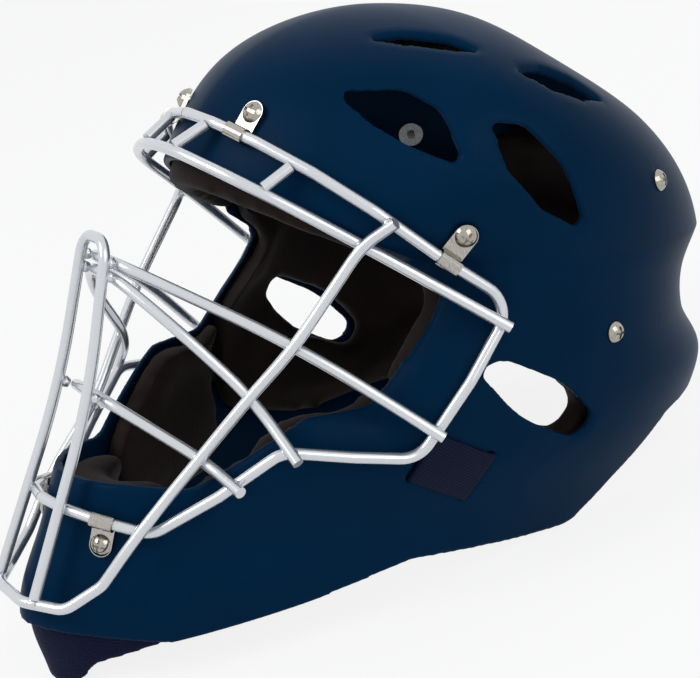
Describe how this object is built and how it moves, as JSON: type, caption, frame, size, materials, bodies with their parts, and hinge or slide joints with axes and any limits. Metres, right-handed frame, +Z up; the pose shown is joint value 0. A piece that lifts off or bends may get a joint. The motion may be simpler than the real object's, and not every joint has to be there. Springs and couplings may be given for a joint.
{
  "type": "baseball catcher helmet",
  "caption": "Catcher's helmet: moulded one-piece shell with face opening, vents and ear holes, clipped-on steel wire face cage, foam pads, throat guard and elastic straps.",
  "frame": {"origin": "middle of the footprint, on the surface that the helmet rests on with its throat guard and two rear corners", "axes": "+X is the wearer's left and the shell is symmetric across X; the face looks along -Y; +Z is up as the helmet rests, tipped back 15.2 degrees from upright on the head"},
  "size_m": [0.2272, 0.3646, 0.2336],
  "materials": {
    "shell": "satin-gloss navy moulded ABS",
    "cage_wire": "silver powder-coated steel wire",
    "clip_steel": "bright nickel-plated spring steel",
    "screw_steel": "nickel-plated steel",
    "nut_steel": "zinc-plated steel",
    "pad_foam": "dark brown-black fabric-faced foam",
    "guard_rubber": "fine-grained navy rubber-faced foam",
    "strap_webbing": "navy woven elastic webbing"
  },
  "bodies": {
    "root": {"outer_shell": "shell", "cage_ring": "cage_wire", "cage_centre_bars": "cage_wire", "cage_brow_bar": "cage_wire", "cage_eye_bar": "cage_wire", "cage_jaw_bar": "cage_wire", "cage_cross_bar": "cage_wire", "cage_side_bars": "cage_wire", "cage_brow_struts": "cage_wire", "brow_clip_left": "clip_steel", "brow_clip_right": "clip_steel", "temple_clip_left": "clip_steel", "temple_clip_right": "clip_steel", "chin_clip_left": "clip_steel", "chin_clip_right": "clip_steel", "clip_screws": "screw_steel", "clip_tee_nuts": "nut_steel", "back_screws": "screw_steel", "back_tee_nuts": "nut_steel", "forehead_pad": "pad_foam", "crown_pad": "pad_foam", "back_pad": "pad_foam", "side_pad_left": "pad_foam", "side_pad_right": "pad_foam", "jaw_pad_left": "pad_foam", "jaw_pad_right": "pad_foam", "chin_pad": "pad_foam", "throat_guard": "guard_rubber", "elastic_strap_left": "strap_webbing", "elastic_strap_right": "strap_webbing"}
  },
  "joints": []
}
